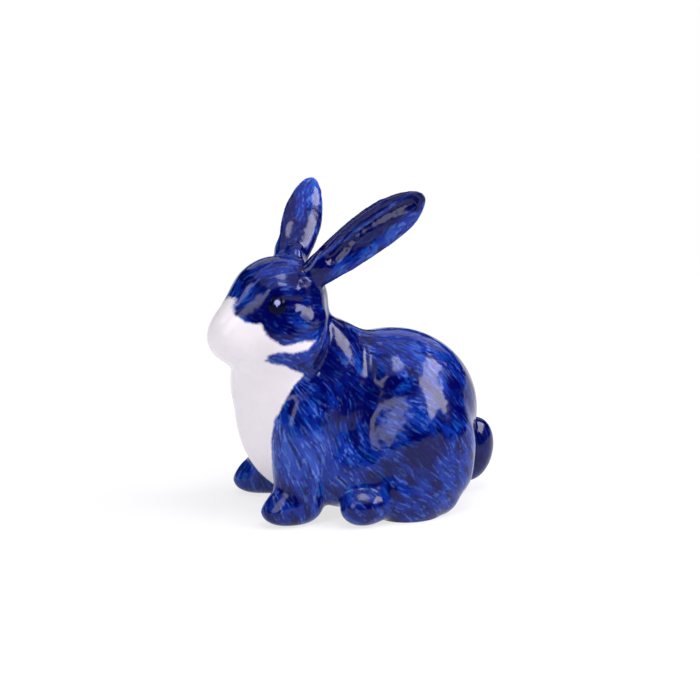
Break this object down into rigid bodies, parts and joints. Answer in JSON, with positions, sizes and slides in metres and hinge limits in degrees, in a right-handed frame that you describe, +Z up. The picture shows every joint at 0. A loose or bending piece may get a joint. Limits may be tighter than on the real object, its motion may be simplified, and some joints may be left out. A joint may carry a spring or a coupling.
{
  "type": "rabbit figurine",
  "caption": "Sitting rabbit figurine in glossy glazed porcelain: cobalt-painted fur, white muzzle and chest, splayed ears and paws ground flat to stand on a surface.",
  "frame": {"origin": "middle of the figurine's outline on the surface that its paws stand on", "axes": "+Z up, nose towards -Y, the rabbit's left side towards +X"},
  "size_m": [0.0548, 0.0855, 0.0927],
  "materials": {
    "painted_porcelain": "clear glossy glaze over cobalt brush strokes and bare white porcelain",
    "ear_glaze": "clear glossy glaze over dark cobalt with a green-blue tinge",
    "limb_glaze": "clear glossy glaze over dark cobalt brush strokes",
    "black_glaze": "glossy blue-black overglaze bead"
  },
  "bodies": {
    "root": {"torso": "painted_porcelain", "head": "painted_porcelain", "left_ear": "ear_glaze", "right_ear": "ear_glaze", "left_eye": "black_glaze", "right_eye": "black_glaze", "left_foreleg": "limb_glaze", "right_foreleg": "limb_glaze", "left_hind_foot": "limb_glaze", "right_hind_foot": "limb_glaze", "tail": "limb_glaze"}
  },
  "joints": []
}
